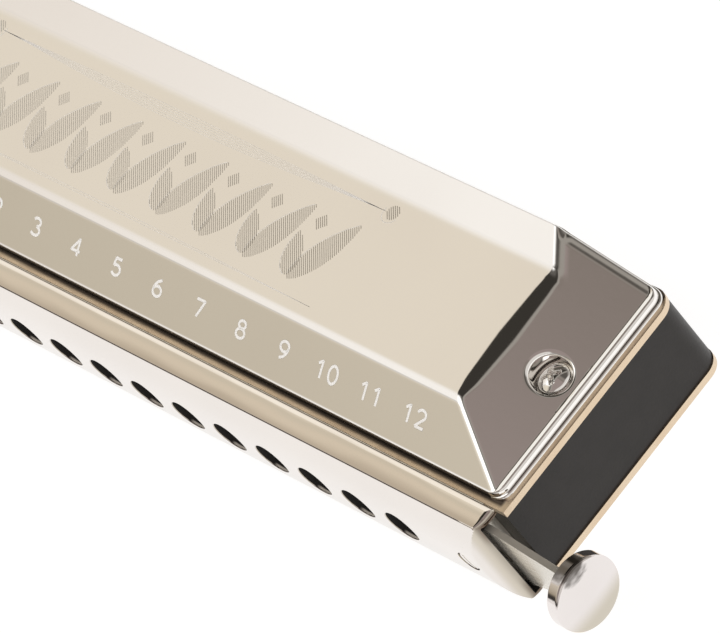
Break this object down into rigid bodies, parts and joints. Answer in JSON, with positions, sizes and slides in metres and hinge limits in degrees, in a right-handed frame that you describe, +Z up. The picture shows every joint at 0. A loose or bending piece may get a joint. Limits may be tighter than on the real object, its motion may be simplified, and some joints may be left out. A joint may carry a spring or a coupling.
{
  "type": "chromatic harmonica",
  "caption": "Sixteen-hole chromatic harmonica with chromed covers, round-holed mouthpiece, brass reed plates on a dark comb, and a spring-returned slide with a disc button.",
  "frame": {"origin": "centre of the lower cover's flat panel, the face that a holder's lower jaw presses", "axes": "+X along the row of holes towards the slide button, +Y from the mouthpiece to the back, +Z up through the upper cover"},
  "size_m": [0.1897, 0.0435, 0.0295],
  "materials": {
    "comb_plastic": "satin",
    "plate_brass": "brushed",
    "reed_brass": "satin",
    "rivet_brass": "satin",
    "valve_film": "matt film",
    "plate_screw_steel": "satin",
    "cover_chrome": "mirror polish",
    "screw_chrome": "mirror polish",
    "mouthpiece_chrome": "mirror polish",
    "slide_chrome": "polished",
    "button_chrome": "mirror polish",
    "bumper_rubber": "matt",
    "spring_steel": "satin"
  },
  "bodies": {
    "body": {"comb": "comb_plastic", "upper_reed_plate": "plate_brass", "lower_reed_plate": "plate_brass", "upper_blow_reeds": "reed_brass", "upper_draw_reeds": "reed_brass", "lower_blow_reeds": "reed_brass", "lower_draw_reeds": "reed_brass", "upper_reed_rivets": "rivet_brass", "lower_reed_rivets": "rivet_brass", "upper_windsavers": "valve_film", "lower_windsavers": "valve_film", "upper_plate_screws": "plate_screw_steel", "lower_plate_screws": "plate_screw_steel", "upper_cover": "cover_chrome", "lower_cover": "cover_chrome", "cover_screws": "screw_chrome", "cover_sleeve_nuts": "screw_chrome", "mouthpiece": "mouthpiece_chrome", "mouthpiece_screws": "screw_chrome", "slide_back_plate": "slide_chrome", "slide_front_plate": "slide_chrome", "slide_bumper": "bumper_rubber", "spring_post": "rivet_brass", "spring_coil": "spring_steel"},
    "slide": {"slide_plate": "slide_chrome", "slide_button": "button_chrome"},
    "spring_leg": {"spring_arm": "spring_steel"}
  },
  "joints": [
    {"name": "slide_press", "type": "slide", "parent": "body", "child": "slide", "axis": [-1, 0, 0], "range_m": [0, 0.0045], "stiffness_N_per_m": 250, "springref_m": -0.004},
    {"name": "spring_leg_swing", "type": "hinge", "parent": "body", "child": "spring_leg", "pos_m": [0.0806, -0.00957, 0.0176], "axis": [0, 0, -1], "range_deg": [0, 21]}
  ],
  "couplings": [
    {"joint": "spring_leg_swing", "follows": "slide_press", "rad_per_m": 80.252}
  ]
}
